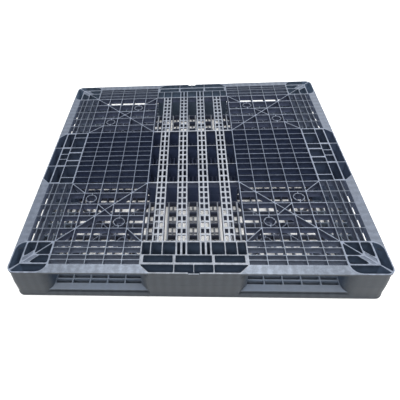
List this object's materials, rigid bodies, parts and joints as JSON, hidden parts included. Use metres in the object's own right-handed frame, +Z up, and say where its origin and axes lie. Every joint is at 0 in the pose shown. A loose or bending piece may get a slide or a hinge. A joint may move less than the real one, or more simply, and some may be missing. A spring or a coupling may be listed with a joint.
{
  "type": "plastic pallet",
  "caption": "Square double-faced plastic pallet with open ribbed decks, nine hollow blocks and fork entry from all four sides.",
  "frame": {"origin": "centre of the underside, on the floor plane", "axes": "+Z up through the deck, +Y towards the back, +X to the right, both parallel to the sides"},
  "size_m": [1.1, 1.1, 0.12],
  "materials": {
    "deck_plastic": "moulded recycled polypropylene, satin, scuffed pale along the rib tops",
    "rail_plastic": "moulded recycled polypropylene, satin, scuffed by forks and loads",
    "block_plastic": "moulded recycled polypropylene, fine matt grain"
  },
  "bodies": {
    "root": {"upper_centre_block": "block_plastic", "upper_right_block": "block_plastic", "upper_right_middle_grid": "deck_plastic", "upper_left_block": "block_plastic", "upper_left_middle_grid": "deck_plastic", "upper_back_block": "block_plastic", "upper_back_channel_grating": "deck_plastic", "upper_back_right_corner_block": "block_plastic", "upper_back_right_deck_grid": "deck_plastic", "upper_back_right_end_rail": "rail_plastic", "upper_back_right_side_rail": "rail_plastic", "upper_back_left_corner_block": "block_plastic", "upper_back_left_deck_grid": "deck_plastic", "upper_back_left_end_rail": "rail_plastic", "upper_back_left_side_rail": "rail_plastic", "upper_front_block": "block_plastic", "upper_front_channel_grating": "deck_plastic", "upper_front_right_corner_block": "block_plastic", "upper_front_right_deck_grid": "deck_plastic", "upper_front_right_end_rail": "rail_plastic", "upper_front_right_side_rail": "rail_plastic", "upper_front_left_corner_block": "block_plastic", "upper_front_left_deck_grid": "deck_plastic", "upper_front_left_end_rail": "rail_plastic", "upper_front_left_side_rail": "rail_plastic", "lower_centre_block": "block_plastic", "lower_right_block": "block_plastic", "lower_right_middle_grid": "deck_plastic", "lower_left_block": "block_plastic", "lower_left_middle_grid": "deck_plastic", "lower_back_block": "block_plastic", "lower_back_channel_grating": "deck_plastic", "lower_back_right_corner_block": "block_plastic", "lower_back_right_deck_grid": "deck_plastic", "lower_back_right_end_rail": "rail_plastic", "lower_back_right_side_rail": "rail_plastic", "lower_back_left_corner_block": "block_plastic", "lower_back_left_deck_grid": "deck_plastic", "lower_back_left_end_rail": "rail_plastic", "lower_back_left_side_rail": "rail_plastic", "lower_front_block": "block_plastic", "lower_front_channel_grating": "deck_plastic", "lower_front_right_corner_block": "block_plastic", "lower_front_right_deck_grid": "deck_plastic", "lower_front_right_end_rail": "rail_plastic", "lower_front_right_side_rail": "rail_plastic", "lower_front_left_corner_block": "block_plastic", "lower_front_left_deck_grid": "deck_plastic", "lower_front_left_end_rail": "rail_plastic", "lower_front_left_side_rail": "rail_plastic"}
  },
  "joints": []
}
